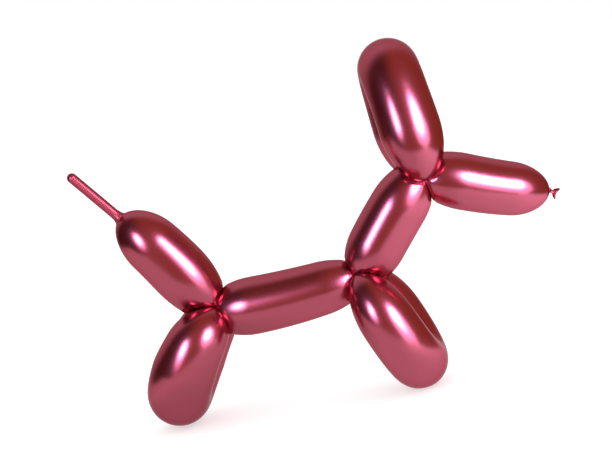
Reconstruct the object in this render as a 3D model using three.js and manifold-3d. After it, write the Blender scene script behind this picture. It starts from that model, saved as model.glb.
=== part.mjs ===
// A balloon dog twisted from one long modelling balloon, modelled as one solid.
// Millimetres and degrees; +X towards the snout, +Y towards the dog's left side, +Z up.
// The origin is on the floor under the middle of the dog.
import * as THREE from "three";
import { mergeVertices } from "three/addons/utils/BufferGeometryUtils.js";
import Module from "manifold-3d";

const wasm = await Module();
wasm.setup();

// ---- Driving dimensions ----
const TWIST_RADIUS = 5.0;       // the wrung rubber where bubbles meet
const FOOT_FLAT = 1.8;          // how far the feet are pressed flat against the floor

// Plain bubbles run from one twist to the next. start and end are radii. An end's dome reaches full
// width startDome or endDome radii from its twist. bow lifts the middle, barrel slims the ends.
const BODY = {
  length: 139.4, start: 27.9, end: 23.5, pitch: 3.9, yaw: 0.6,
  startDome: 1.33, endDome: 1.50, bow: -3.7, barrel: 0.05,
};
const NECK = {
  length: 108.4, start: 26.5, end: 26.4, pitch: 49.7, yaw: 0.5,
  startDome: 1.19, endDome: 1.42, bow: 1.9, barrel: 0.04,
};
const SNOUT = {
  length: 108.0, start: 26.4, end: 24.05, pitch: -21.7, yaw: 12.0,
  startDome: 1.48, endDome: 1.02, bow: -3.4, barrel: 0.04,
};
const TAIL = {
  length: 112.35, start: 28.5, end: 26.45, pitch: 121.25, yaw: -8.0,
  startDome: 1.81, endDome: 1.08, bow: 3.5, barrel: 0.05,
};

// Folded bubbles: the same, from the twist to the outside of the fold. turn swings the two limbs
// about the heading, and they stand spread radii off its middle from the distance widest on.
const EARS = {
  length: 122.3, start: 28.2, end: 26.8, pitch: 96.7, yaw: 2.2,
  startDome: 1.53, bow: -0.5, turn: 11.9, spread: 0.95, widest: 31.0,
};
const FRONT_LEGS = {
  length: 118.2, start: 24.7, end: 25.5, pitch: -66.9, yaw: -2.0,
  startDome: 1.99, bow: -1.0, turn: 0.9, spread: 0.94, widest: 44.0,
};
const HIND_LEGS = {
  length: 113.5, start: 24.5, end: 29.2, pitch: -121.15, yaw: 0.0,
  startDome: 1.20, bow: 6.5, turn: -1.2, spread: 0.90, widest: 40.0,
};

// The tail's last stretch holds no air: it stays thin. Its root is given as [along, radius].
const TIP_HEADING = { pitch: 126.8, yaw: -8.0 };
const TIP_LENGTH = 59.7;
const TIP_RADIUS = 4.5;
const TIP_ROOT = [[-7.0, 7.0], [0.0, 5.7], [2.2, 5.0], [6.0, 4.6]];

// The tied neck and its rolled lip, beyond the snout: also [along, radius].
const NOZZLE_PITCH = -34.5;
const NOZZLE = [
  [-5.0, 2.4], [0.0, 2.4], [1.4, 1.6], [4.6, 1.5], [5.3, 2.4], [5.7, 3.8],
  [5.9, 4.8], [6.6, 5.3], [7.4, 4.9], [7.4, 4.0], [6.9, 2.6], [6.6, 1.0],
];

// How finely the surfaces are divided.
const AROUND = 28;
const PLAIN_RINGS = 22;
const LIMB_RINGS = 14;
const FOLD_RINGS = 9;
const SMALL_AROUND = 16;

const { cos, sin, sqrt, abs, max, min, PI } = Math;
const radians = THREE.MathUtils.degToRad;

// ---- Directions ----
function heading({ pitch, yaw }) {
  const p = radians(pitch);
  const y = radians(yaw);
  return new THREE.Vector3(cos(p) * cos(y), sin(y), sin(p) * cos(y));
}

// The line from one limb of a folded bubble to the other, swung by turn about the heading.
function across(fold, along) {
  const side = new THREE.Vector3(0, -1, 0).addScaledVector(along, along.y).normalize();
  const other = new THREE.Vector3().crossVectors(along, side);
  const a = radians(fold.turn);
  return side.multiplyScalar(cos(a)).addScaledVector(other, sin(a));
}

function move(from, along, distance) {
  return from.clone().addScaledVector(along, distance);
}

// ---- Curves ----
// Rises from 0 to 1 like a quarter of an ellipse.
function dome(share) {
  const left = 1 - min(max(share, 0), 1);
  return sqrt(1 - left * left);
}

// How far a dome bulges past its twist, and how long it is in all.
function overhang(share, radius) {
  return radius * (sqrt(1 + share * share) - share);
}

function domeLength(share, radius) {
  return radius * sqrt(1 + share * share);
}

// How far a bowed middle line stands off a straight one.
function bowAt(bubble, s) {
  const t = s / bubble.length;
  return 4 * bubble.bow * t * (1 - t);
}

function mix(a, b, share) {
  return a + (b - a) * share;
}

// ---- Surfaces ----
// A closed skin through rings of points, drawn to a point at both ends.
function skin(first, rings, last) {
  const around = rings[0].length;
  const points = [first, ...rings.flat(), last];
  const at = (ring, k) => 1 + ring * around + (k % around);
  const faces = [];
  for (let k = 0; k < around; k += 1) {
    faces.push(0, at(0, k + 1), at(0, k));
    faces.push(points.length - 1, at(rings.length - 1, k), at(rings.length - 1, k + 1));
    for (let ring = 0; ring < rings.length - 1; ring += 1) {
      faces.push(at(ring, k), at(ring, k + 1), at(ring + 1, k + 1));
      faces.push(at(ring, k), at(ring + 1, k + 1), at(ring + 1, k));
    }
  }
  const geometry = new THREE.BufferGeometry().setFromPoints(points);
  geometry.setIndex(faces);
  return geometry;
}

function solid(geometry) {
  geometry.deleteAttribute("normal");
  geometry.deleteAttribute("uv");
  const merged = mergeVertices(geometry, 1e-4);
  return new wasm.Manifold(new wasm.Mesh({
    numProp: 3,
    vertProperties: new Float32Array(merged.attributes.position.array),
    triVerts: new Uint32Array(merged.index.array),
  }));
}

function ring(centre, u, v, around, reach) {
  const points = [];
  for (let k = 0; k < around; k += 1) {
    const angle = (2 * PI * k) / around;
    const r = reach(angle);
    points.push(centre.clone().addScaledVector(u, r * cos(angle)).addScaledVector(v, r * sin(angle)));
  }
  return points;
}

// A point of a plain bubble's middle line, bowed upwards.
function middle(from, bubble, s) {
  const along = heading(bubble);
  const up = new THREE.Vector3(0, 1, 0).cross(along).normalize();
  return move(from, along, s).addScaledVector(up, bowAt(bubble, s) * Math.sign(up.z));
}

// The outermost point of a plain bubble's far end.
function farEnd(from, bubble) {
  return middle(from, bubble, bubble.length + overhang(bubble.endDome, bubble.end));
}

// A plain bubble: round everywhere, domed at both ends.
function plainBubble(from, bubble) {
  const along = heading(bubble);
  const u = new THREE.Vector3(0, 1, 0).cross(along).normalize();
  const v = new THREE.Vector3().crossVectors(along, u);
  const first = -overhang(bubble.startDome, bubble.start);
  const last = bubble.length + overhang(bubble.endDome, bubble.end);
  const rings = [];
  for (let k = 1; k < PLAIN_RINGS; k += 1) {
    const s = mix(first, last, 0.5 - 0.5 * cos((PI * k) / PLAIN_RINGS));
    const t = s / bubble.length;
    const radius = mix(bubble.start, bubble.end, t) * (1 - bubble.barrel * (2 * t - 1) ** 2)
      * dome((s - first) / domeLength(bubble.startDome, bubble.start))
      * dome((last - s) / domeLength(bubble.endDome, bubble.end));
    rings.push(ring(middle(from, bubble, s), u, v, AROUND, () => radius));
  }
  return solid(skin(middle(from, bubble, first), rings, farEnd(from, bubble)));
}

// A folded bubble: out along one limb, round the fold and back along the other, the limbs pressed
// together. Seen from the middle line its wall stands `reach` away.
function foldedBubble(from, fold) {
  const along = heading(fold);
  const u = across(fold, along);
  const v = new THREE.Vector3().crossVectors(along, u);
  const spread = fold.spread * fold.end;
  const bend = fold.length - spread - fold.end;
  const first = -overhang(fold.startDome, fold.start);
  const lifted = (s) => move(from, along, s).addScaledVector(v, bowAt(fold, max(s, 0)));
  const reach = (offset, radius, height) => (
    offset * sqrt(1 - height * height) + sqrt(radius * radius - (offset * height) ** 2)
  );
  const rings = [];
  for (let k = 1; k <= LIMB_RINGS; k += 1) {
    const s = mix(first, bend, (k / LIMB_RINGS) ** 1.5);
    const radius = mix(fold.start, fold.end, max(s, 0) / bend)
      * dome((s - first) / domeLength(fold.startDome, fold.start));
    const offset = min(spread * dome(s / fold.widest), fold.spread * radius);
    rings.push(ring(lifted(s), u, v, AROUND, (angle) => reach(offset, radius, abs(sin(angle)))));
  }
  for (let k = 1; k < FOLD_RINGS; k += 1) {
    const tilt = (PI / 2) * (1 - k / FOLD_RINGS);
    const points = [];
    for (let j = 0; j < AROUND; j += 1) {
      const angle = (2 * PI * j) / AROUND;
      const r = reach(spread, fold.end, sin(tilt) * abs(sin(angle)));
      points.push(lifted(bend + r * cos(tilt))
        .addScaledVector(u, r * sin(tilt) * cos(angle))
        .addScaledVector(v, r * sin(tilt) * sin(angle)));
    }
    rings.push(points);
  }
  return solid(skin(lifted(first), rings, lifted(fold.length)));
}

// A turned shape on a line from a point: profile is [along, radius], closed to the line at both ends.
function turned(from, along, profile, around) {
  const outline = [[profile[0][0], 0], ...profile, [profile.at(-1)[0], 0]];
  const lathe = new THREE.LatheGeometry(outline.map(([s, r]) => new THREE.Vector2(r, s)), around);
  const aim = new THREE.Quaternion().setFromUnitVectors(new THREE.Vector3(0, 1, 0), along);
  lathe.applyQuaternion(aim);
  lathe.translate(from.x, from.y, from.z);
  return solid(lathe);
}

function tipProfile() {
  const profile = [...TIP_ROOT];
  const straight = TIP_LENGTH - TIP_RADIUS;
  profile.push([straight * 0.5, TIP_RADIUS]);
  for (let k = 0; k < 5; k += 1) {
    const angle = (PI / 2) * (k / 5);
    profile.push([straight + TIP_RADIUS * sin(angle), TIP_RADIUS * cos(angle)]);
  }
  return profile;
}

function twist(at) {
  return solid(new THREE.SphereGeometry(TWIST_RADIUS, SMALL_AROUND, 10).translate(at.x, at.y, at.z));
}

function lowest(shape) {
  return shape.boundingBox().min[2];
}

// Everything under a height is taken away, as the floor presses the feet flat.
function pressFlat(shape, height) {
  const floor = new THREE.BoxGeometry(1000, 1000, 200).translate(0, 0, height - 100);
  return shape.subtract(solid(floor));
}

function mesh(name, shape, material) {
  const { vertProperties, triVerts } = shape.getMesh();
  const geometry = new THREE.BufferGeometry();
  geometry.setAttribute("position", new THREE.BufferAttribute(new Float32Array(vertProperties), 3));
  geometry.setIndex(new THREE.BufferAttribute(new Uint32Array(triVerts), 1));
  geometry.computeVertexNormals();
  const made = new THREE.Mesh(geometry, material);
  made.name = name;
  return made;
}

// ---- The dog ----
const hip = new THREE.Vector3();
const shoulder = move(hip, heading(BODY), BODY.length);
const crown = move(shoulder, heading(NECK), NECK.length);
const nozzleHeading = heading({ pitch: NOZZLE_PITCH, yaw: SNOUT.yaw });

const parts = [
  plainBubble(hip, BODY),
  plainBubble(shoulder, NECK),
  plainBubble(crown, SNOUT),
  plainBubble(hip, TAIL),
  foldedBubble(crown, EARS),
  foldedBubble(shoulder, FRONT_LEGS),
  foldedBubble(hip, HIND_LEGS),
  turned(farEnd(hip, TAIL), heading(TIP_HEADING), tipProfile(), SMALL_AROUND),
  turned(farEnd(crown, SNOUT), nozzleHeading, NOZZLE, SMALL_AROUND),
  twist(hip),
  twist(shoulder),
  twist(crown),
];
const whole = parts.reduce((sum, part) => sum.add(part));
const standing = pressFlat(whole, lowest(whole) + FOOT_FLAT);

const box = standing.boundingBox();
const placed = standing.translate([
  -(box.min[0] + box.max[0]) / 2,
  -(box.min[1] + box.max[1]) / 2,
  -box.min[2],
]);

const latex = new THREE.MeshStandardMaterial({ color: 0xb2566f, roughness: 0.24, metalness: 0.9 });
const dog = new THREE.Group();
dog.name = "balloon_poodle";
dog.add(mesh("twisted_balloon", placed, latex));

export default dog;
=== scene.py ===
"""A balloon dog twisted from one long chrome-finish latex balloon, standing on a pale floor.

+X is towards the snout, +Y towards the dog's left side and +Z up. Sizes are named in millimetres
and turned to metres where a mesh is made. The balloon runs from the nozzle along the snout, round
the ears, down the neck, round the front legs, along the body, round the hind legs and out along the
tail. Every bubble is a closed skin of its own, and the bubbles meet at three twists.
"""
import logging
import math
from dataclasses import dataclass, field
from enum import Enum

import bpy
import numpy as np
from mathutils import Matrix, Vector


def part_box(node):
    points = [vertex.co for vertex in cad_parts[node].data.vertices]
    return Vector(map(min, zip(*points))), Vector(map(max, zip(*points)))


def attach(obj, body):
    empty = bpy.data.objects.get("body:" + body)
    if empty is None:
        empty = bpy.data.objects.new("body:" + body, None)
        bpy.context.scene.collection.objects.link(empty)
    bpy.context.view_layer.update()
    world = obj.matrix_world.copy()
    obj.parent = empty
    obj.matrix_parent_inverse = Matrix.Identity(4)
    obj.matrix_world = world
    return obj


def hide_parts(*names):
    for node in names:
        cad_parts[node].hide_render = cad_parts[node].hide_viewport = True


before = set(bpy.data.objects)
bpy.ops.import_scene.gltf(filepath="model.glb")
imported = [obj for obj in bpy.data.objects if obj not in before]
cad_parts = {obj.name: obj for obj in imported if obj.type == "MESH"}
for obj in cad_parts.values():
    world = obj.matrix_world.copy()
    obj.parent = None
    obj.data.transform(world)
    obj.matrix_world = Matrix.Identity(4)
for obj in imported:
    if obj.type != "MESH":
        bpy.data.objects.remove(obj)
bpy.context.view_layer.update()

CAD_NODE = "twisted_balloon"
MM = 0.001

# How skins are worked out, in millimetres.
SHUT = 0.6                # A ring that reaches less than this has been pressed shut.
UNTOUCHED = 0.01          # A ray pressed by less than this keeps its free length.
STEEPEST = 0.9995         # A ball that grows faster than this along its path lies inside the next one.
SLACK_LENGTH = 9.0        # Over this length the rubber beside a twist goes from slack to taut.
TINY = 1e-3
FAR_AWAY = 1e6
ACROSS = np.array([0.0, 1.0, 0.0])

LOG = logging.getLogger("balloon_dog")

Array = np.ndarray


# ---- Shape helpers ----

def unit(vector: Array) -> Array:
    """Returns the vector scaled to length 1."""
    return vector / np.linalg.norm(vector)


def heading(pitch: float, yaw: float) -> Array:
    """Gives a direction from two angles.

    Args:
        pitch: Degrees from +X towards +Z.
        yaw: Degrees that the direction leans towards +Y.

    Returns:
        The unit direction: (cos p cos y, sin y, sin p cos y).
    """
    p, y = math.radians(pitch), math.radians(yaw)
    return np.array([math.cos(p) * math.cos(y), math.sin(y), math.sin(p) * math.cos(y)])


def dome(share: Array) -> Array:
    """Rises from 0 to 1 like a quarter of an ellipse: sqrt(1 - (1 - share)^2)."""
    left = 1.0 - np.clip(share, 0.0, 1.0)
    return np.sqrt(1.0 - left * left)


def ease(share: Array) -> Array:
    """Rises smoothly from 0 to 1: 3 s^2 - 2 s^3."""
    s = np.clip(share, 0.0, 1.0)
    return s * s * (3.0 - 2.0 * s)


def round_angles(count: int) -> Array:
    """Angles that go once round, evenly spaced."""
    return np.linspace(0.0, 2.0 * math.pi, count, endpoint=False)


def bunched(count: int) -> Array:
    """Shares between 0 and 1, closer together towards both: (1 - cos a) / 2 for even steps of a."""
    return 0.5 - 0.5 * np.cos(np.linspace(0.0, math.pi, count + 2)[1:-1])


def spokes(angles: Array, first: Array, second: Array) -> Array:
    """Unit rays in the plane of two directions per ring: cos(a) first + sin(a) second."""
    a = angles[None, :, None]
    return np.cos(a) * first[:, None] + np.sin(a) * second[:, None]


def tautness(distance: Array) -> Array:
    """How far the rubber is stretched, 0 to 1, at a distance from its nearest twist."""
    return dome(distance / SLACK_LENGTH)


def soft_least(a: Array, b: Array, width: float) -> Array:
    """The smaller of two values, with the corner between them rounded over `width`.

    Formula: min(a, b) - max(width - |a - b|, 0)^2 / (4 width).
    """
    near = np.clip(width - np.abs(a - b), 0.0, None)
    return np.minimum(a, b) - near * near / (4.0 * width)


def soft_most(a: Array, b: Array, width: float) -> Array:
    """The larger of two values, rounded in the same way as `soft_least`."""
    return -soft_least(-a, -b, width)


@dataclass
class Balls:
    """A row of balls that fills a bubble, in millimetres: it says how deep a point is inside it."""

    centres: Array
    radii: Array

    def distance(self, points: Array) -> Array:
        """Distance to the bubble's skin: the least of |p - c| - r over the balls.

        Args:
            points: Points, (..., 3).

        Returns:
            Distances, negative inside.
        """
        flat = points.reshape(-1, 3)
        square = (flat * flat).sum(1)[:, None] + (self.centres * self.centres).sum(1)[None]
        apart = np.sqrt(np.clip(square - 2.0 * flat @ self.centres.T, 0.0, None))
        return (apart - self.radii[None]).min(1).reshape(points.shape[:-1])


def press(centres: Array, rays: Array, ring: Array, others: list[Balls], gap: float = 0.1,
          rounding: float = 1.6, steps: int = 14) -> Array:
    """Shortens a skin's rays where it presses against its neighbours.

    The air in both is at one pressure, so they meet where a point is as deep in one as in the other.
    Along each ray the skin is where the larger of u = t - ring and (u - d) / 2 + gap passes 0, with d
    the distance to the neighbours; the corner between the two is rounded. It is found by halving.

    Args:
        centres: Ring middles, (rings, 3).
        rays: Unit rays from them, (rings, around, 3).
        ring: How far the free skin reaches, (rings, around).
        others: The neighbours.
        gap: Half of the space left between the skins.
        rounding: How wide the corner is.
        steps: How many times to halve.

    Returns:
        The new reach, (rings, around).
    """
    reach = ring.copy()
    for other in others:
        close = other.distance(centres) < ring.max(1) + rounding
        if not close.any():
            continue
        c, e, free = centres[close], rays[close], ring[close]
        low, high = np.zeros_like(free), free
        for _ in range(steps):
            middle = 0.5 * (low + high)
            inside = middle - free
            shared = 0.5 * (inside - other.distance(c[:, None] + middle[..., None] * e)) + gap
            past = soft_most(inside, shared, rounding) > 0.0
            low, high = np.where(past, low, middle), np.where(past, middle, high)
        pressed = np.where(low > free - UNTOUCHED, free + rounding, low)
        reach[close] = soft_least(reach[close], pressed, rounding)
    return np.clip(reach, 0.0, None)


def close_skin(path: Array, rays: Array, reach: Array, stretch: Array) -> "Skin":
    """Drops the rings that neighbours have pressed shut and closes the rest into a skin.

    Args:
        path: Ring middles, (rings, 3).
        rays: Unit rays from them, (rings, around, 3).
        reach: How far the skin reaches along them, (rings, around).
        stretch: How far the rubber is stretched at each ring, 0 to 1.

    Returns:
        The closed skin.
    """
    open_rings = np.nonzero(reach.max(1) > SHUT)[0]
    keep = slice(open_rings[0], open_rings[-1] + 1)
    points = (path[:, None] + reach[..., None] * rays)[keep]
    return Skin(points[0].mean(0), points, points[-1].mean(0), stretch[keep])


@dataclass
class Skin:
    """A closed skin: rings of points between two end points, in millimetres.

    `stretch` says how far the rubber is stretched at each ring, 0 to 1.
    """

    first: Array
    rings: Array
    last: Array
    stretch: Array

    def moved(self, shift: Array) -> "Skin":
        """Returns the skin moved by a vector."""
        return Skin(self.first + shift, self.rings + shift, self.last + shift, self.stretch)

    def points(self) -> Array:
        """All points, the first end first."""
        return np.vstack([self.first[None], self.rings.reshape(-1, 3), self.last[None]])

    def build(self, name: str) -> bpy.types.Object:
        """Makes the closed mesh, in metres, smooth, with its faces outwards.

        Args:
            name: The piece's name.

        Returns:
            The piece, linked to the scene.
        """
        count, around = self.rings.shape[:2]
        ring = np.arange(count - 1)[:, None] * around + 1
        here, there = np.arange(around)[None], (np.arange(around)[None] + 1) % around
        quads = np.stack([ring + here, ring + there, ring + around + there, ring + around + here], -1)
        top = 1 + (count - 1) * around
        tip = top + around
        fan = np.stack([np.zeros(around, int), there[0] + 1, here[0] + 1], -1)
        cap = np.stack([np.full(around, tip), top + here[0], top + there[0]], -1)
        vertices = self.points() * MM
        loops = np.concatenate([quads.reshape(-1), fan.reshape(-1), cap.reshape(-1)])
        sizes = np.concatenate([np.full(quads.size // 4, 4), np.full(2 * around, 3)])
        mesh = bpy.data.meshes.new(name)
        mesh.vertices.add(len(vertices))
        mesh.vertices.foreach_set("co", vertices.astype(np.float32).ravel())
        mesh.loops.add(len(loops))
        mesh.loops.foreach_set("vertex_index", loops.astype(np.int32))
        mesh.polygons.add(len(sizes))
        mesh.polygons.foreach_set("loop_start", (np.cumsum(sizes) - sizes).astype(np.int32))
        mesh.update(calc_edges=True)
        if signed_volume(vertices, quads) < 0.0:
            mesh.flip_normals()
        mesh.polygons.foreach_set("use_smooth", np.ones(len(sizes), bool))
        values = np.r_[self.stretch[0], np.repeat(self.stretch, around), self.stretch[-1]]
        layer = mesh.attributes.new("stretch", "FLOAT", "POINT")
        layer.data.foreach_set("value", values.astype(np.float32))
        mesh.validate()
        piece = bpy.data.objects.new(name, mesh)
        bpy.context.collection.objects.link(piece)
        return piece


def signed_volume(vertices: Array, quads: Array) -> float:
    """About six times the volume inside the quads: positive where they face outwards.

    Args:
        vertices: Points, (n, 3).
        quads: Numbers of their corners, (rings, around, 4).

    Returns:
        The sum of a . (b x c) over three corners of each, measured from the middle.
    """
    middle = vertices.mean(0)
    a, b, c = (vertices[quads[..., k]] - middle for k in (0, 1, 2))
    return float(np.einsum("...k,...k", a, np.cross(b, c)).sum())


def pucker(angles: Array, distance: Array, depth: float, length: float, seed: int) -> Array:
    """Fine pleats that run out of a twist and fade along the bubble.

    Formula: 1 - depth exp(-distance / length) times a sum of three cosines of the angle, whose counts
    of pleats are whole numbers and whose phases are seeded.

    Args:
        angles: Angles round the bubble, (around,).
        distance: Distance from the twist, (rings,).
        depth: Depth of the pleats at the twist, as a share of the radius.
        length: Over what length they fade.
        seed: Seed of the phases.

    Returns:
        Factors for the radius, (rings, around).
    """
    random = np.random.default_rng(seed)
    waves = np.zeros_like(angles)
    for count, weight in ((11, 0.5), (17, 0.35), (26, 0.25)):
        waves += weight * np.cos(count * angles + random.uniform(0.0, 2.0 * math.pi))
    fade = depth * np.exp(-distance / length)
    return 1.0 - fade[:, None] * waves[None]


def frames(path: Array, across: Array) -> tuple[Array, Array]:
    """Two directions square to a path and to each other.

    Args:
        path: Points, (n, 3).
        across: A direction that the first of the two stays closest to.

    Returns:
        First and second cross directions, each (n, 3).
    """
    tangent = np.gradient(path, axis=0)
    tangent /= np.linalg.norm(tangent, axis=1)[:, None]
    first = across - (tangent @ across)[:, None] * tangent
    first /= np.linalg.norm(first, axis=1)[:, None]
    return first, np.cross(tangent, first)


def swell(path: Array, radius: Array) -> tuple[Array, Array, Array]:
    """The skin round a row of balls, as an inflated bubble takes it.

    With r' the change of radius along the path, a ball touches the skin in the ring whose middle is
    c - r r' t and whose radius is r sqrt(1 - r'^2). Where r' passes 1 a ball lies inside the next one,
    and the skin has closed: those rings are dropped.

    Args:
        path: Middles of the balls, (n, 3).
        radius: Their radii, (n,).

    Returns:
        The rings' middles and radii, and which balls touch the skin.
    """
    tangent = np.gradient(path, axis=0)
    length = np.linalg.norm(tangent, axis=1)
    growth = np.gradient(radius) / length
    tangent /= length[:, None]
    touch = np.abs(growth) < STEEPEST
    inside = np.clip(growth, -1.0, 1.0)
    return path - (radius * inside)[:, None] * tangent, radius * np.sqrt(1.0 - inside * inside), touch


# ---- Finishes ----

def linear(code: str) -> tuple[float, float, float, float]:
    """Turns an sRGB hex colour into the linear colour that the shaders take."""
    values = [int(code[k:k + 2], 16) / 255.0 for k in (1, 3, 5)]
    return tuple(v / 12.92 if v <= 0.04045 else ((v + 0.055) / 1.055) ** 2.4 for v in values) + (1.0,)


def add_node(tree: bpy.types.NodeTree, kind: str, settings: dict | None = None,
             links: dict | None = None) -> bpy.types.Node:
    """Adds one node to a tree.

    Args:
        tree: The node tree.
        kind: The node's type name.
        settings: Properties by name, and input values by socket name or number.
        links: Output sockets to join to the inputs, by socket name or number.

    Returns:
        The node.
    """
    node = tree.nodes.new(kind)
    for key, value in (settings or {}).items():
        if isinstance(key, str) and hasattr(node, key):
            setattr(node, key, value)
        else:
            node.inputs[key].default_value = value
    for key, socket in (links or {}).items():
        tree.links.new(socket, node.inputs[key])
    return node


def add_ramp(tree: bpy.types.NodeTree, value: bpy.types.NodeSocket,
             stops: tuple[tuple[float, str], ...]) -> bpy.types.NodeSocket:
    """Adds a colour ramp.

    Args:
        tree: The node tree.
        value: What the ramp reads.
        stops: Positions and sRGB hex colours.

    Returns:
        The ramp's colour.
    """
    node = add_node(tree, "ShaderNodeValToRGB", links={"Fac": value})
    elements = node.color_ramp.elements
    while len(elements) < len(stops):
        elements.new(0.5)
    for element, (position, code) in zip(elements, stops):
        element.position, element.color = position, linear(code)
    return node.outputs["Color"]


@dataclass(frozen=True)
class MetallicLatex:
    """Chrome-finish balloon latex: rubber dipped with aluminium flake under a mauve-pink dye.

    Stretched, the flakes lie flat and the skin mirrors its surroundings with a soft edge. Where it is
    not stretched, at the twists, the nozzle and the empty tail tip, it is duller and deeper in colour.
    """

    name: str = "metallic_latex"
    slack: str = "#B04A55"
    taut: str = "#BB596A"
    edge: str = "#D6BCBC"
    roughness: float = 0.24
    slack_roughness: float = 0.42
    flake: float = 0.5 * MM
    flake_grain: float = 0.03
    flake_bump: float = 0.004
    flake_height: float = 0.05 * MM
    patch: float = 22.0 * MM
    patch_depth: float = 0.16

    def material(self) -> bpy.types.Material:
        """Builds the procedural material.

        Real flakes are 20 to 50 micrometres across, too fine to show: here they are 0.5 mm.

        Returns:
            The material.
        """
        material = bpy.data.materials.new(self.name)
        material.use_nodes = True
        tree = material.node_tree
        tree.nodes.clear()
        place = add_node(tree, "ShaderNodeTexCoord").outputs["Object"]
        stretch = add_node(tree, "ShaderNodeAttribute", {"attribute_name": "stretch"}).outputs["Fac"]
        cloud = add_node(tree, "ShaderNodeTexNoise", {"Scale": 1.0 / self.patch, "Detail": 2.0},
                         {"Vector": place}).outputs["Fac"]
        flake = add_node(tree, "ShaderNodeTexNoise", {"Scale": 1.0 / self.flake, "Detail": 2.0},
                         {"Vector": place}).outputs["Fac"]
        # The dye is thinner, so paler, where the rubber is stretched, and varies a little in patches.
        patch = add_node(tree, "ShaderNodeMath",
                         {"operation": "MULTIPLY_ADD", 1: self.patch_depth, 2: -0.5 * self.patch_depth},
                         {0: cloud}).outputs[0]
        thin = add_node(tree, "ShaderNodeMath", {"operation": "ADD", "use_clamp": True},
                        {0: stretch, 1: patch}).outputs[0]
        colour = add_ramp(tree, thin, ((0.0, self.slack), (1.0, self.taut)))
        rough = add_node(tree, "ShaderNodeMapRange",
                         {"To Min": self.slack_roughness, "To Max": self.roughness},
                         {"Value": stretch}).outputs["Result"]
        grain = add_node(tree, "ShaderNodeMath",
                         {"operation": "MULTIPLY_ADD", 1: self.flake_grain, 2: -0.5 * self.flake_grain},
                         {0: flake}).outputs[0]
        rough = add_node(tree, "ShaderNodeMath", {"operation": "ADD"}, {0: rough, 1: grain}).outputs[0]
        bump = add_node(tree, "ShaderNodeBump",
                        {"Strength": self.flake_bump, "Distance": self.flake_height},
                        {"Height": flake}).outputs["Normal"]
        shader = add_node(tree, "ShaderNodeBsdfPrincipled",
                          {"Metallic": 1.0, "Specular Tint": linear(self.edge)},
                          {"Base Color": colour, "Roughness": rough, "Normal": bump})
        add_node(tree, "ShaderNodeOutputMaterial", links={"Surface": shader.outputs["BSDF"]})
        return material


# ---- The balloon's stretches ----

@dataclass
class Bubble:
    """What every stretch of the balloon has in common, in millimetres and degrees.

    `start` and `end` are its radii there, and a dome is given in radii.
    """

    name: str
    length: float
    start: float
    end: float
    pitch: float
    yaw: float = 0.0
    start_dome: float = 1.2
    bow: float = 0.0
    pleats: float = 0.004
    pleat_length: float = 5.0
    seed: int = 1
    neighbours: list[Balls] = field(default_factory=list)

    def along(self) -> Array:
        """The heading from the twist that the stretch starts at."""
        return heading(self.pitch, self.yaw)

    def pleated(self, reach: Array, angles: Array, distance: Array, seed_step: int = 0) -> Array:
        """Gives a skin's reach the pleats that run out of a twist `distance` away."""
        return reach * pucker(angles, distance, self.pleats, self.pleat_length, self.seed + seed_step)


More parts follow.
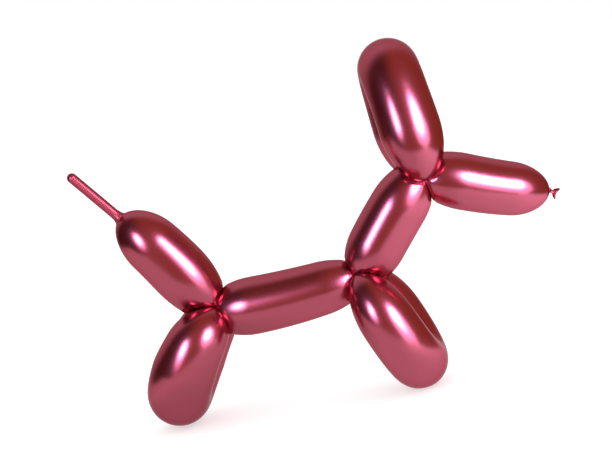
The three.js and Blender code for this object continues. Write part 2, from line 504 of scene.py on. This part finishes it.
@dataclass
class PlainBubble(Bubble):
    """A plain bubble: round everywhere, domed at both ends and a little slimmer there."""

    end_dome: float = 1.2
    barrel: float = 0.045
    rings: int = 170
    around: int = 120
    ball_count: int = 90
    ball_margin: float = 0.02
    pucker_end: bool = True
    end_seed_step: int = 50

    def overhang(self, dome_length: float, radius: float) -> float:
        """How far an end bulges past its twist: r (sqrt(1 + d^2) - d) for a dome d radii long."""
        return radius * (math.hypot(1.0, dome_length) - dome_length)

    def ends(self) -> tuple[float, float]:
        """Where the two domes' tops are, measured from the first twist."""
        return (-self.overhang(self.start_dome, self.start),
                self.length + self.overhang(self.end_dome, self.end))

    def width(self, t: Array) -> Array:
        """Radius without the domes at share t: an even taper times 1 - barrel (2 t - 1)^2."""
        return (self.start + (self.end - self.start) * t) * (1.0 - self.barrel * (2.0 * t - 1.0) ** 2)

    def profile(self, s: Array) -> Array:
        """The width times an elliptic dome at each end.

        A dome reaches full width d radii from its twist, and is sqrt(1 + d^2) radii long in all.

        Args:
            s: Distances from the first twist.

        Returns:
            The radius there.
        """
        first, last = self.ends()
        head = (s - first) / (math.hypot(1.0, self.start_dome) * self.start)
        foot = (last - s) / (math.hypot(1.0, self.end_dome) * self.end)
        return self.width(s / self.length) * dome(head) * dome(foot)

    def path(self, origin: Array, s: Array) -> Array:
        """The middle line: straight from the origin, bowed by 4 t (1 - t) upwards.

        Args:
            origin: The first twist.
            s: Distances from it.

        Returns:
            Points, (n, 3).
        """
        t = s / self.length
        up = unit(np.cross(self.along(), ACROSS))
        up = up * np.sign(up[2])
        return origin + np.outer(s, self.along()) + np.outer(4.0 * self.bow * t * (1.0 - t), up)

    def finish_at(self, origin: Array) -> Array:
        """The twist at the bubble's far end."""
        return origin + self.length * self.along()

    def top_at(self, origin: Array) -> Array:
        """The outermost point of the far end's dome."""
        return self.path(origin, np.array([self.ends()[1]]))[0]

    def balls(self, origin: Array) -> Balls:
        """The balls that fill the bubble, the smallest at its twists.

        Args:
            origin: The first twist.

        Returns:
            The balls.
        """
        turn = np.linspace(self.ball_margin, math.pi - self.ball_margin, self.ball_count)
        s = self.length * (0.5 - 0.5 * np.cos(turn))
        radii = (self.width(s / self.length) * dome(s / (self.start_dome * self.start))
                 * dome((self.length - s) / (self.end_dome * self.end)))
        return Balls(self.path(origin, s), radii)

    def skin(self, origin: Array) -> Skin:
        """Carries the round profile along the middle line and presses it against its neighbours.

        Args:
            origin: The twist where the bubble starts.

        Returns:
            The closed skin.
        """
        first, last = self.ends()
        s = first + bunched(self.rings) * (last - first)
        path = self.path(origin, s)
        angles = round_angles(self.around)
        rays = spokes(angles, *frames(path, ACROSS))
        reach = self.pleated(self.profile(s)[:, None], angles, s - first)
        if self.pucker_end:
            reach = self.pleated(reach, angles, last - s, self.end_seed_step)
        reach = press(path, rays, reach, self.neighbours)
        return close_skin(path, rays, reach, tautness(np.minimum(s - first, last - s)))


@dataclass
class TailBubble(PlainBubble):
    """The tail: a plain bubble that runs on into the balloon's empty tip.

    The tip holds no air. It keeps the width of the balloon as it was dipped, a little wider at its
    root, and ends round. The names on `before` and `start` are distances back from the root.
    """

    tip_length: float = 59.7
    tip_radius: float = 4.5
    tip_pitch: float = 126.8
    root_flare: float = 1.2
    root_length: float = 2.2
    rib_step: float = 1.5
    rib_depth: float = 0.035
    tip_rings: int = 240
    tip_bunching: float = 0.85
    bend_before: float = 1.0
    bend_length: float = 6.0
    fillet: float = 2.4
    hidden_start: float = 16.0
    hidden_growth: float = 8.0
    join_before: float = 12.0
    slack_before: float = 3.0
    slack_growth: float = 3.5

    def skin(self, origin: Array) -> Skin:
        """Joins the bubble's profile and the tip's with a small fillet and carries both along.

        The tip's radius is r + flare exp(-rise / root_length) + rib_depth cos(2 pi rise / rib_step),
        times a round end, with `rise` the distance past the root. It starts inside the bubble, and the
        larger of the two radii is the skin's. The tip bends to its own pitch over bend_length.

        Args:
            origin: The twist where the tail starts.

        Returns:
            The closed skin.
        """
        first, root = self.ends()
        total = root + self.tip_length
        out = np.linspace(0.0, 1.0, self.tip_rings + 1)
        out = out - np.sin(2.0 * math.pi * out) / (2.0 * math.pi) * self.tip_bunching
        tip = root + self.tip_length * out
        s = np.r_[first + bunched(self.rings) * (root - first), tip[tip < total - TINY]]
        rise = s - root
        beyond = np.clip(rise + self.bend_before, 0.0, None)
        path = self.path(origin, np.minimum(s, root)) + np.outer(np.clip(rise, 0.0, None), self.along())
        path = path + np.outer(beyond * ease(beyond / self.bend_length),
                               heading(self.tip_pitch, self.yaw) - self.along())
        angles = round_angles(self.around)
        rays = spokes(angles, *frames(path, ACROSS))
        bubble = np.where(s < root, self.profile(np.minimum(s, root)), 0.0)
        thin = self.tip_radius + self.root_flare * np.exp(-np.clip(rise, 0.0, None) / self.root_length)
        thin = thin + self.rib_depth * np.cos(2.0 * math.pi * rise / self.rib_step)
        thin = thin * dome((total - s) / self.tip_radius)
        thin = thin * ease((rise + self.hidden_start) / self.hidden_growth)
        radius = np.where(rise < -self.join_before, bubble, soft_most(bubble, thin, self.fillet))
        reach = self.pleated(radius[:, None], angles, s - first)
        reach = press(path, rays, reach, self.neighbours)
        slack = ease((rise + self.slack_before) / self.slack_growth)
        return close_skin(path, rays, reach, np.minimum(tautness(s - first), 1.0 - slack))


@dataclass
class FoldedBubble(Bubble):
    """A long bubble bent double, its two ends caught in one twist and its limbs pressed together.

    `length` is from the twist to the outside of the fold; `turn` swings the two limbs about the
    heading; `spread` says how far a limb's middle stands off the fold's middle line where the loop is
    widest, as a share of its radius.
    """

    turn: float = 0.0
    spread: float = 0.92
    widest: float = 36.0
    squareness: float = 2.3
    rounding: float = 5.0
    limb_bunching: float = 1.8
    limb_rings: int = 110
    fold_rings: int = 120
    around: int = 128
    gap: float = 0.15

    def across(self) -> Array:
        """The line from the far limb to the near one, square to the heading.

        Returns:
            Its unit direction.
        """
        along = self.along()
        near = np.array([0.0, -1.0, 0.0])
        near = unit(near - along * (near @ along))
        a = math.radians(self.turn)
        return math.cos(a) * near + math.sin(a) * np.cross(along, near)

    def half(self) -> tuple[Array, Array, Array]:
        """One limb's balls, from the twist to the top of the fold.

        Up to x = widest their middles stand y = w dome(x / widest) off the fold's middle line. Beyond
        it they follow a rounded square, (y / w)^n + ((x - widest) / a)^n = 1, to the top of the fold.
        The radius tapers evenly and has an elliptic dome at the twist.

        Returns:
            Distance x out, distance y across, and radius.
        """
        reach = self.length - self.end - self.widest
        wide = self.spread * self.end
        x = self.widest * np.linspace(0.0, 1.0, self.limb_rings + 1)[1:] ** self.limb_bunching
        y = wide * dome(x / self.widest)
        turn = np.linspace(0.0, 0.5 * math.pi, self.fold_rings + 1)[1:]
        x = np.r_[x, self.widest + reach * np.sin(turn) ** (2.0 / self.squareness)]
        y = np.r_[y, wide * np.clip(np.cos(turn), 0.0, None) ** (2.0 / self.squareness)]
        share = np.clip(x / (self.length - 2.0 * self.end), 0.0, 1.0)
        taper = self.start + (self.end - self.start) * share
        return x, y, taper * dome(x / (self.start_dome * self.start))

    def middles(self, origin: Array) -> tuple[Array, Array]:
        """Places the near limb's balls, bowed by 4 t (1 - t).

        Args:
            origin: The twist that holds both ends.

        Returns:
            Their middles, (n, 3), and radii, (n,).
        """
        x, y, radius = self.half()
        t = x / self.length
        lift = np.outer(4.0 * self.bow * t * (1.0 - t), np.cross(self.along(), self.across()))
        return origin + np.outer(x, self.along()) + np.outer(y, self.across()) + lift, radius

    def balls(self, origin: Array) -> Balls:
        """The balls that fill both limbs.

        Args:
            origin: The twist that holds both ends.

        Returns:
            The balls, every other one of each limb.
        """
        near, radius = self.middles(origin)
        across = self.across()
        far = near - 2.0 * np.outer((near - origin) @ across, across)
        return Balls(np.vstack([near[::2], far[::2]]), np.r_[radius[::2], radius[::2]])

    def skin(self, origin: Array) -> Skin:
        """Carries the round section out along one limb, round the fold and back along the other.

        Where the limbs meet, a ray stops a gap short of the plane between them, room / cos(angle) out.

        Args:
            origin: The twist that holds both ends.

        Returns:
            The closed skin.
        """
        across = self.across()
        beside = np.cross(self.along(), across)
        balls, radius = self.middles(origin)
        path, ring, touch = swell(balls, radius)
        tangent = np.gradient(balls, axis=0)
        tangent[-1] = -across
        path, ring, tangent = path[touch], ring[touch], tangent[touch]
        tangent /= np.linalg.norm(tangent, axis=1)[:, None]
        inward = np.cross(beside, tangent)
        inward /= np.linalg.norm(inward, axis=1)[:, None]
        inward *= -np.sign(inward[len(path) // 3] @ across)
        angles = round_angles(self.around)
        rays = spokes(angles, inward, beside[None])
        out = np.cumsum(np.r_[0.0, np.linalg.norm(np.diff(path, axis=0), axis=1)])
        reach = self.pleated(ring[:, None], angles, out)
        room = ((path - origin) @ across) / np.maximum(-(inward @ across), TINY)
        room[-1] = room[-2]
        room = np.clip(room - self.gap, 0.0, None)[:, None]
        slope = np.maximum(np.cos(angles)[None], TINY)
        halfway = np.where(slope > TINY, room / slope, FAR_AWAY)
        reach = np.clip(soft_least(reach, halfway, self.rounding), 0.0, None)
        mirror = np.eye(3) - 2.0 * np.outer(across, across)
        back, back_rays = origin + (path - origin) @ mirror, rays @ mirror
        near = press(path, rays, reach, self.neighbours)
        far = press(back, back_rays, reach, self.neighbours)
        stretch = tautness(out)
        return close_skin(np.vstack([path, back[-2::-1]]), np.concatenate([rays, back_rays[-2::-1]]),
                          np.vstack([near, far[-2::-1]]), np.r_[stretch, stretch[-2::-1]])


@dataclass
class TiedNozzle:
    """The balloon's mouth: a thin wrung neck past the knot, a small cup and a rolled lip.

    The outline is [along, radius] in millimetres, from the neck's root out over the lip and back
    into the cup. The lip isn't flat: it bends like a saddle.
    """

    name: str = "tied_nozzle"
    pitch: float = -34.5
    yaw: float = 12.0
    root_bulge: float = 0.3
    neck_radius: float = 1.5
    neck_length: float = 5.0
    cup_radius: float = 4.3
    cup_length: float = 1.3
    lip: float = 0.85
    saddle: float = 1.1
    pleats: int = 9
    pleat_depth: float = 0.10
    pleat_twist: float = 1.2
    rings: int = 150
    smoothing: int = 7
    around: int = 96

    def outline(self) -> Array:
        """The turned outline: root, neck, outside of the cup, lip and inside of the cup.

        Returns:
            Rows of [along, radius].
        """
        root = np.array([[-3.0, 2.3], [-1.2, 2.5], [0.0, 2.6], [0.7, 2.2], [1.3, self.neck_radius]])
        neck = np.array([[0.6 * self.neck_length, self.neck_radius],
                         [self.neck_length, self.neck_radius]])
        t = np.linspace(0.0, 1.0, 14)[1:, None]
        flare = self.neck_length + self.cup_length * t
        width = self.neck_radius + (self.cup_radius - self.neck_radius) * ease(t) ** 0.8
        outside = np.hstack([flare, width])
        turn = np.linspace(-0.5 * math.pi, 0.9 * math.pi, 16)[:, None]
        centre = np.array([[self.neck_length + self.cup_length, self.cup_radius + 0.2]])
        bead = centre + self.lip * np.hstack([np.sin(turn), np.cos(turn)])
        inside = np.array([[0.75, 0.72], [0.4, 0.42], [0.1, 0.2], [-0.1, 0.08]])
        inside = inside * [[self.cup_length, self.cup_radius]] + [[self.neck_length, 0.0]]
        return np.vstack([root, neck, outside, bead, inside])

    def skin(self, origin: Array) -> Skin:
        """Turns the outline round the heading, with pleats on the neck and a saddle at the lip.

        Args:
            origin: The snout's end.

        Returns:
            The closed skin.
        """
        line = self.outline()
        step = np.r_[0.0, np.cumsum(np.hypot(*np.diff(line, axis=0).T))]
        fine = np.linspace(0.0, step[-1], self.rings)
        z, r = (np.pad(np.interp(fine, step, line[:, k]), self.smoothing // 2, "edge") for k in (0, 1))
        blur = np.ones(self.smoothing) / self.smoothing
        z, r = (np.convolve(q, blur, "valid") for q in (z, r))
        angles = round_angles(self.around)
        along = heading(self.pitch, self.yaw)
        u = unit(np.cross(ACROSS, along))
        v = np.cross(along, u)
        inner = 1.0 - ease((z - self.neck_length) / self.cup_length)
        wave = np.cos(self.pleats * angles[None] + self.pleat_twist * z[:, None])
        reach = r[:, None] * (1.0 + self.pleat_depth * inner[:, None] * wave)
        bend = self.saddle * (r[:, None] / self.cup_radius) ** 2
        rise = z[:, None] + bend * np.cos(2.0 * angles[None])
        points = (origin + rise[..., None] * along
                  + (reach * np.cos(angles))[..., None] * u + (reach * np.sin(angles))[..., None] * v)
        centres = points.mean(1)
        return Skin(centres[0] - self.root_bulge * along, points, centres[-1], np.zeros(len(z)))


@dataclass
class Twist:
    """The wrung rubber that holds the bubbles together at a twist: a small ball of tight pleats."""

    name: str
    radius: float = 4.4
    pleats: int = 9
    pleat_depth: float = 0.09
    turns: float = 0.6
    rings: int = 40
    around: int = 90

    def skin(self, origin: Array, axis: Array) -> Skin:
        """A ball whose pleats spiral about an axis and fade towards its two ends.

        Formula: r (1 + depth cos(n a + 2 pi turns b) cos(b)^2) at angle a and latitude b.

        Args:
            origin: The twist's middle.
            axis: The line that the rubber was wrung about.

        Returns:
            The closed skin.
        """
        rise = np.linspace(-0.5 * math.pi, 0.5 * math.pi, self.rings + 2)[1:-1]
        angles = round_angles(self.around)
        u = unit(np.cross(axis, ACROSS))
        v = np.cross(axis, u)
        wave = np.cos(self.pleats * angles[None] + 2.0 * math.pi * self.turns * rise[:, None])
        reach = self.radius * (1.0 + self.pleat_depth * wave * np.cos(rise)[:, None] ** 2)
        ring = (np.cos(angles)[:, None] * u + np.sin(angles)[:, None] * v)[None]
        points = (origin + reach[..., None] * (np.cos(rise)[:, None, None] * ring
                                               + np.sin(rise)[:, None, None] * axis))
        pole = self.radius * axis
        return Skin(origin - pole, points, origin + pole, np.zeros(self.rings))


# ---- The dog ----

class Meeting(Enum):
    """The three places where the balloon is twisted, by the name of the piece there."""

    HIP = "hip_twist"
    SHOULDER = "shoulder_twist"
    CROWN = "crown_twist"


@dataclass
class BalloonDog:
    """The whole dog: its stretches, how they follow from twist to twist, and its finish."""

    # Each starts with its name, its length, its radius at the start and the end, its pitch and its yaw.
    body: PlainBubble = field(default_factory=lambda: PlainBubble(
        "body_bubble", 139.4, 27.9, 23.5, 3.9, 0.6, start_dome=1.33, end_dome=1.62, bow=-3.7,
        barrel=0.05, seed=3))
    neck: PlainBubble = field(default_factory=lambda: PlainBubble(
        "neck_bubble", 108.4, 26.5, 26.4, 49.7, 0.5, start_dome=1.19, end_dome=1.42, bow=1.9,
        barrel=0.04, seed=5))
    snout: PlainBubble = field(default_factory=lambda: PlainBubble(
        "snout_bubble", 108.0, 26.4, 24.05, -21.7, 12.0, start_dome=1.48, end_dome=1.02, bow=-3.4,
        barrel=0.04, seed=7, pucker_end=False))
    tail: TailBubble = field(default_factory=lambda: TailBubble(
        "tail_bubble", 112.35, 28.5, 26.45, 121.25, -8.0, start_dome=1.81, end_dome=1.08, bow=3.5,
        barrel=0.05, seed=9, pucker_end=False))
    ears: FoldedBubble = field(default_factory=lambda: FoldedBubble(
        "ear_loop", 122.3, 28.2, 26.8, 96.7, 2.2, start_dome=1.53, bow=-0.5, turn=11.9,
        spread=0.95, widest=31.0, squareness=2.1, seed=11))
    front_legs: FoldedBubble = field(default_factory=lambda: FoldedBubble(
        "front_leg_loop", 118.2, 24.7, 25.5, -66.9, -2.0, start_dome=1.99, bow=-1.0, turn=0.9,
        spread=0.94, widest=44.0, seed=13))
    hind_legs: FoldedBubble = field(default_factory=lambda: FoldedBubble(
        "hind_leg_loop", 113.5, 24.5, 29.2, -121.15, 0.0, start_dome=1.20, bow=6.5, turn=-1.2,
        spread=0.90, widest=40.0, squareness=2.1, seed=15))
    nozzle: TiedNozzle = field(default_factory=TiedNozzle)
    foot_flat: float = 1.8
    foot_rounding: float = 1.2
    finish: MetallicLatex = MetallicLatex()
    hip_at: Array = field(default_factory=lambda: np.zeros(3))

    def twists(self) -> dict[Meeting, Array]:
        """Where the twists are.

        Returns:
            Their places, measured from the hip's.
        """
        hip = np.zeros(3)
        shoulder = self.body.finish_at(hip)
        crown = self.neck.finish_at(shoulder)
        return {Meeting.HIP: hip, Meeting.SHOULDER: shoulder, Meeting.CROWN: crown}

    def meetings(self) -> dict[Meeting, tuple[Bubble, ...]]:
        """The bubbles that meet at each twist. Each starts at the twist that names it first."""
        return {Meeting.HIP: (self.body, self.tail, self.hind_legs),
                Meeting.SHOULDER: (self.body, self.neck, self.front_legs),
                Meeting.CROWN: (self.neck, self.snout, self.ears)}

    def skins(self) -> dict[str, Skin]:
        """Works out every skin, in the CAD's place.

        Returns:
            The skins by the name of their piece.
        """
        at, meetings = self.twists(), self.meetings()
        bubbles: dict[str, Bubble] = {}
        starts: dict[str, Array] = {}
        for meeting, members in meetings.items():
            for bubble in members:
                bubbles[bubble.name] = bubble
                starts.setdefault(bubble.name, at[meeting])
        for members in meetings.values():
            for bubble in members:
                bubble.neighbours += [other.balls(starts[other.name]) for other in members
                                      if other is not bubble]
        made = {name: bubble.skin(starts[name]) for name, bubble in bubbles.items()}
        made[self.nozzle.name] = self.nozzle.skin(self.snout.top_at(at[Meeting.CROWN]))
        for meeting, wrung in ((Meeting.HIP, self.body), (Meeting.SHOULDER, self.neck),
                               (Meeting.CROWN, self.neck)):
            made[meeting.value] = Twist(meeting.value).skin(at[meeting], wrung.along())
        return self.stand(made)

    def stand(self, made: dict[str, Skin]) -> dict[str, Skin]:
        """Presses the feet flat, puts the dog where the CAD's is and notes where its hip comes.

        Args:
            made: The skins round the hip.

        Returns:
            The skins on the floor, the middle of their box over the middle of the CAD's.
        """
        everything = np.vstack([skin.points() for skin in made.values()])
        floor = everything[:, 2].min() + self.foot_flat
        low, high = (np.array(corner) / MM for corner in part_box(CAD_NODE))
        shift = 0.5 * (low + high) - 0.5 * (everything.min(0) + everything.max(0))
        shift[2] = low[2] - floor
        for skin in made.values():
            level = np.full(skin.rings.shape[:2], floor)
            skin.rings[..., 2] = soft_most(skin.rings[..., 2], level, self.foot_rounding)
        self.hip_at = shift
        return {name: skin.moved(shift) for name, skin in made.items()}

    def build(self) -> list[bpy.types.Object]:
        """Builds every piece, gives it the latex, hangs it on the root body and hides the CAD part.

        Returns:
            The pieces.
        """
        latex = self.finish.material()
        pieces = []
        for name, skin in self.skins().items():
            piece = skin.build(name)
            piece.data.materials.append(latex)
            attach(piece, "root")
            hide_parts(CAD_NODE)
            pieces.append(piece)
        return pieces


# ---- Studio ----

def towards(swing: float, rise: float) -> Vector:
    """Unit direction from the dog, `swing` degrees from its right side to its front and `rise` up."""
    a, e = math.radians(swing), math.radians(rise)
    return Vector((math.sin(a) * math.cos(e), -math.cos(a) * math.cos(e), math.sin(e)))


@dataclass
class Camera:
    """The camera, placed from the hip twist: millimetres and degrees, its clip in metres."""

    distance: float = 1500.0
    swing: float = 9.29
    rise: float = 7.65
    roll: float = 11.66
    aim: tuple[float, float, float] = (97.9, 0.0, 59.5)
    lens: float = 98.04
    sensor: float = 36.0
    clip: tuple[float, float] = (0.05, 100.0)

    def place(self, hip: Array) -> None:
        """Makes the camera and turns it to the aim point, rolled about its own line of sight.

        Args:
            hip: The hip twist, in millimetres.
        """
        data = bpy.data.cameras.new("camera")
        data.sensor_width, data.lens = self.sensor, self.lens
        data.clip_start, data.clip_end = self.clip
        camera = bpy.data.objects.new("camera", data)
        bpy.context.collection.objects.link(camera)
        back = towards(self.swing, self.rise)
        aim = Vector((hip + np.array(self.aim)) * MM)
        turn = (-back).to_track_quat("-Z", "Y").to_matrix()
        turn = turn @ Matrix.Rotation(-math.radians(self.roll), 3, "Z")
        camera.matrix_world = Matrix.Translation(aim + back * self.distance * MM) @ turn.to_4x4()
        bpy.context.scene.camera = camera


@dataclass(frozen=True)
class Softbox:
    """A round softbox: cool, even light from one side of the camera."""

    name: str
    swing: float
    rise: float
    distance: float
    width: float
    height: float
    strength: float
    colour: str = "#C6DAFF"

    def place(self, middle: Vector) -> None:
        """Hangs the softbox round the middle of the dog and faces it there.

        Its power is pi w h s for a width w, a height h and a strength s, so that every softbox of one
        strength is as bright to the eye: the ellipse's radiance is 4 s / pi.

        Args:
            middle: The middle of the dog, in metres.
        """
        lamp = bpy.data.lights.new(self.name, "AREA")
        lamp.shape, lamp.size, lamp.size_y = "ELLIPSE", self.width, self.height
        lamp.energy = math.pi * self.width * self.height * self.strength
        lamp.color = linear(self.colour)[:3]
        box = bpy.data.objects.new(self.name, lamp)
        bpy.context.collection.objects.link(box)
        box.visible_diffuse = False
        out = towards(self.swing, self.rise)
        box.matrix_world = (Matrix.Translation(middle + out * self.distance)
                            @ out.to_track_quat("Z", "Y").to_matrix().to_4x4())


@dataclass(frozen=True)
class FrostedAcrylic:
    """A light table's top: white acrylic, sanded matt and lit from below, so its shadows are faint."""

    face: str = "#CBCAC9"
    light: str = "#FFFFFF"
    glow: float = 0.55

    def dress(self, tree: bpy.types.NodeTree) -> None:
        """Fills a material.

        Args:
            tree: Its empty node tree.
        """
        glow = add_node(tree, "ShaderNodeEmission",
                        {"Color": linear(self.light), "Strength": self.glow})
        cover = add_node(tree, "ShaderNodeBsdfDiffuse", {"Color": linear(self.face)})
        both = add_node(tree, "ShaderNodeAddShader", links={0: glow.outputs[0], 1: cover.outputs[0]})
        add_node(tree, "ShaderNodeOutputMaterial", links={"Surface": both.outputs[0]})


@dataclass(frozen=True)
class MirroredTable:
    """The table top as the latex mirrors it, in metres: a glowing plane with painted light and shade.

    It is painted cooler and brighter towards the right softbox, and darker with a painted shadow round
    the hind feet.
    """

    hues: tuple[tuple[float, str], ...] = ((0.0, "#F0ECEC"), (0.5, "#F2F0F2"), (1.0, "#E8F6FF"))
    hue_span: tuple[float, float] = (-0.35, 0.45)
    gain_span: tuple[float, float] = (0.05, 0.34)
    gain: tuple[float, float] = (0.94, 1.75)
    hind_feet: tuple[float, float, float] = (-0.16, -0.02, 0.0)
    shadow_span: tuple[float, float] = (0.04, 0.14)
    shadow: float = 0.76

    def dress(self, tree: bpy.types.NodeTree) -> None:
        """Fills a material.

        Args:
            tree: Its empty node tree.
        """
        place = add_node(tree, "ShaderNodeTexCoord").outputs["Object"]
        x = add_node(tree, "ShaderNodeSeparateXYZ", links={0: place}).outputs["X"]
        share = add_node(tree, "ShaderNodeMapRange",
                         {"From Min": self.hue_span[0], "From Max": self.hue_span[1]}, {"Value": x})
        colour = add_ramp(tree, share.outputs["Result"], self.hues)
        # Painted light: the glow grows brighter towards the right softbox.
        gain = add_node(tree, "ShaderNodeMapRange",
                        {"From Min": self.gain_span[0], "From Max": self.gain_span[1],
                         "To Min": self.gain[0], "To Max": self.gain[1]}, {"Value": x})
        # Painted shadow: the glow is dimmed round the hind feet.
        off = add_node(tree, "ShaderNodeVectorMath", {"operation": "DISTANCE", 1: self.hind_feet},
                       {0: place})
        shade = add_node(tree, "ShaderNodeMapRange",
                         {"From Min": self.shadow_span[0], "From Max": self.shadow_span[1],
                          "To Min": self.shadow}, {"Value": off.outputs["Value"]})
        power = add_node(tree, "ShaderNodeMath", {"operation": "MULTIPLY"},
                         {0: gain.outputs["Result"], 1: shade.outputs["Result"]})
        bright = add_node(tree, "ShaderNodeEmission",
                          links={"Color": colour, "Strength": power.outputs[0]})
        add_node(tree, "ShaderNodeOutputMaterial", links={"Surface": bright.outputs[0]})


@dataclass
class Studio:
    """A pale floor, two softboxes in front and a dim warm room with a pale wall behind, in metres.

    Each softbox is a bright middle and the wider, dimmer cloth round it.
    """

    # Each softbox: name, swing, rise, distance, width, height, strength and colour.
    softboxes: tuple[Softbox, ...] = (
        Softbox("softbox_right", 46.0, 15.0, 0.90, 0.44, 0.50, 15.0),
        Softbox("softbox_right_cloth", 48.0, 5.0, 0.92, 0.78, 0.80, 2.9, "#DADCF6"),
        Softbox("softbox_left", -30.0, 13.0, 0.90, 0.27, 0.38, 15.0),
        Softbox("softbox_left_cloth", -30.0, 7.0, 0.92, 0.40, 0.56, 1.7, "#DADCF6"),
    )
    floor: tuple[float, float, float, float] = (-6.0, 6.0, -6.0, 6.0)
    table: tuple[float, float, float, float] = (-0.85, 0.50, -0.36, 1.2)
    table_height: float = -0.0005
    acrylic: FrostedAcrylic = FrostedAcrylic()
    mirrored: MirroredTable = MirroredTable()
    room: str = "#AA764F"
    corner: str = "#4A2412"
    wall: str = "#D8D5D3"
    wall_way: tuple[float, float, float] = (-0.28, 0.77, 0.57)
    wall_span: tuple[float, float] = (0.45, 0.85)
    corner_way: tuple[float, float, float] = (-0.93, -0.1, 0.35)
    corner_span: tuple[float, float] = (0.1, 0.8)
    ambient: float = 1.2

    def plane(self, name: str, edges: tuple[float, float, float, float],
              height: float) -> tuple[bpy.types.Object, bpy.types.NodeTree]:
        """Makes a flat stage piece with an empty material.

        Args:
            name: Its name.
            edges: Least and most x, least and most y, in metres.
            height: Its height.

        Returns:
            The stage piece and its material's node tree.
        """
        x0, x1, y0, y1 = edges
        mesh = bpy.data.meshes.new(name)
        corners = [(x0, y0, height), (x1, y0, height), (x1, y1, height), (x0, y1, height)]
        mesh.from_pydata(corners, [], [(0, 1, 2, 3)])
        piece = bpy.data.objects.new(name, mesh)
        bpy.context.collection.objects.link(piece)
        material = bpy.data.materials.new(name)
        material.use_nodes = True
        material.node_tree.nodes.clear()
        mesh.materials.append(material)
        return piece, material.node_tree

    def lay_floor(self) -> None:
        """Lays the light table, which the latex doesn't mirror, and the table top, which it does."""
        floor, tree = self.plane("floor", self.floor, 0.0)
        self.acrylic.dress(tree)
        floor.visible_glossy = False
        top, tree = self.plane("table_top", self.table, self.table_height)
        self.mirrored.dress(tree)
        top.visible_camera = top.visible_diffuse = top.visible_shadow = False

    def facing(self, tree: bpy.types.NodeTree, way: tuple[float, float, float],
               span: tuple[float, float]) -> bpy.types.NodeSocket:
        """Rises from 0 to 1 as a line of sight turns to a given way.

        Args:
            tree: The world's node tree.
            way: The direction.
            span: The dot products of the two where it is 0 and 1.

        Returns:
            The share.
        """
        sight = add_node(tree, "ShaderNodeTexCoord").outputs["Generated"]
        dot = add_node(tree, "ShaderNodeVectorMath", {"operation": "DOT_PRODUCT", 1: way}, {0: sight})
        return add_node(tree, "ShaderNodeMapRange",
                        {"interpolation_type": "SMOOTHSTEP", "From Min": span[0], "From Max": span[1]},
                        {"Value": dot.outputs["Value"]}).outputs["Result"]

    def fill_world(self) -> None:
        """Lights the surroundings: plain white to the eye and on the floor, a dim room in the latex."""
        world = bpy.data.worlds.new("studio")
        bpy.context.scene.world = world
        world.use_nodes = True
        tree = world.node_tree
        tree.nodes.clear()
        room = add_node(tree, "ShaderNodeMix",
                        {"data_type": "RGBA", 6: linear(self.room), 7: linear(self.corner)},
                        {0: self.facing(tree, self.corner_way, self.corner_span)}).outputs[2]
        mirrored = add_node(tree, "ShaderNodeMix", {"data_type": "RGBA", 7: linear(self.wall)},
                            {0: self.facing(tree, self.wall_way, self.wall_span), 6: room}).outputs[2]
        dim = add_node(tree, "ShaderNodeBackground", {"Strength": 1.0}, {"Color": mirrored})
        white = linear("#FFFFFF")
        pale = add_node(tree, "ShaderNodeBackground", {"Color": white, "Strength": self.ambient})
        plain = add_node(tree, "ShaderNodeBackground", {"Color": white, "Strength": 1.0})
        kind = add_node(tree, "ShaderNodeLightPath").outputs
        seen = add_node(tree, "ShaderNodeMixShader",
                        links={0: kind["Is Camera Ray"], 1: pale.outputs[0], 2: plain.outputs[0]})
        lit = add_node(tree, "ShaderNodeMixShader",
                       links={0: kind["Is Glossy Ray"], 1: seen.outputs[0], 2: dim.outputs[0]})
        add_node(tree, "ShaderNodeOutputWorld", links={"Surface": lit.outputs[0]})

    def build(self) -> None:
        """Builds the floor, the surroundings and the softboxes."""
        self.lay_floor()
        self.fill_world()
        low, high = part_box(CAD_NODE)
        middle = (Vector(low) + Vector(high)) / 2.0
        for softbox in self.softboxes:
            softbox.place(middle)
        bpy.context.scene.view_settings.view_transform = "Standard"


def main() -> None:
    """Builds the dog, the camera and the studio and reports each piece."""
    logging.basicConfig(level=logging.INFO, format="%(message)s")
    dog = BalloonDog()
    for piece in dog.build():
        triangles = sum(len(face.vertices) - 2 for face in piece.data.polygons)
        LOG.info("%s: %d triangles", piece.name, triangles)
    Camera().place(dog.hip_at)
    Studio().build()


if __name__ == "__main__":
    main()
